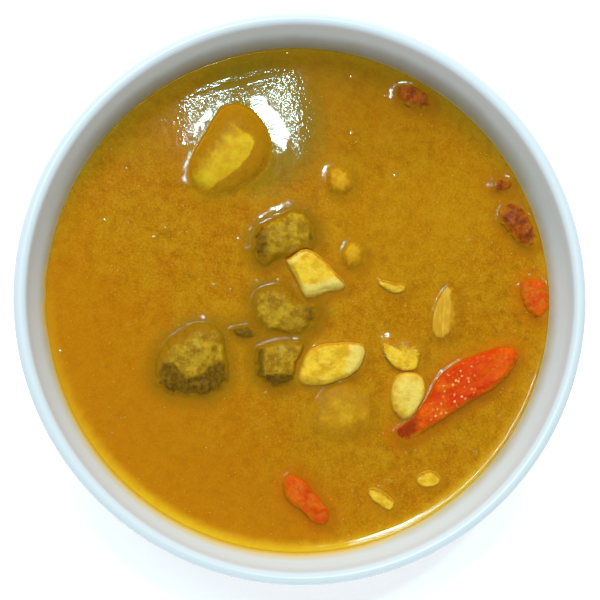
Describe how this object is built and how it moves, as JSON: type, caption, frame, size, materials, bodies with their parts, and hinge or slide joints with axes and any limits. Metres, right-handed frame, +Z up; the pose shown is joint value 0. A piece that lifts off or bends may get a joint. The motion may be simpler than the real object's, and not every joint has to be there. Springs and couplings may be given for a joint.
{
  "type": "bowl of curry",
  "caption": "Plain white footed porcelain bowl filled with thick yellow-orange curry, with chunks of meat, carrot, potato and soft vegetables breaking the surface.",
  "frame": {"origin": "centre of the underside of the bowl's foot ring, on the surface the bowl stands on", "axes": "+Z up along the bowl's axis, +X to the right and +Y to the top of the reference view from above"},
  "size_m": [0.1598, 0.1598, 0.0659],
  "materials": {
    "porcelain": "gloss",
    "curry": "gloss",
    "meat": "satin",
    "carrot": "gloss",
    "potato": "gloss",
    "aubergine": "gloss",
    "tomato": "gloss",
    "onion": "gloss"
  },
  "bodies": {
    "root": {"bowl": "porcelain", "curry": "curry", "chicken_centre": "meat", "chicken_lower": "meat", "chicken_oval": "meat", "chicken_fold": "meat", "flake_right": "meat", "flake_bottom": "meat", "flake_low_right": "meat", "carrot_long": "carrot", "carrot_bottom": "carrot", "carrot_right": "carrot", "potato_upper_left": "potato", "potato_low": "potato", "lump_upper": "potato", "lump_far": "potato", "aubergine_upper": "aubergine", "aubergine_middle": "aubergine", "aubergine_lower": "aubergine", "aubergine_left": "aubergine", "aubergine_strip": "aubergine", "tomato_right": "tomato", "tomato_small": "tomato", "tomato_upper": "tomato", "onion_right": "onion"}
  },
  "joints": []
}
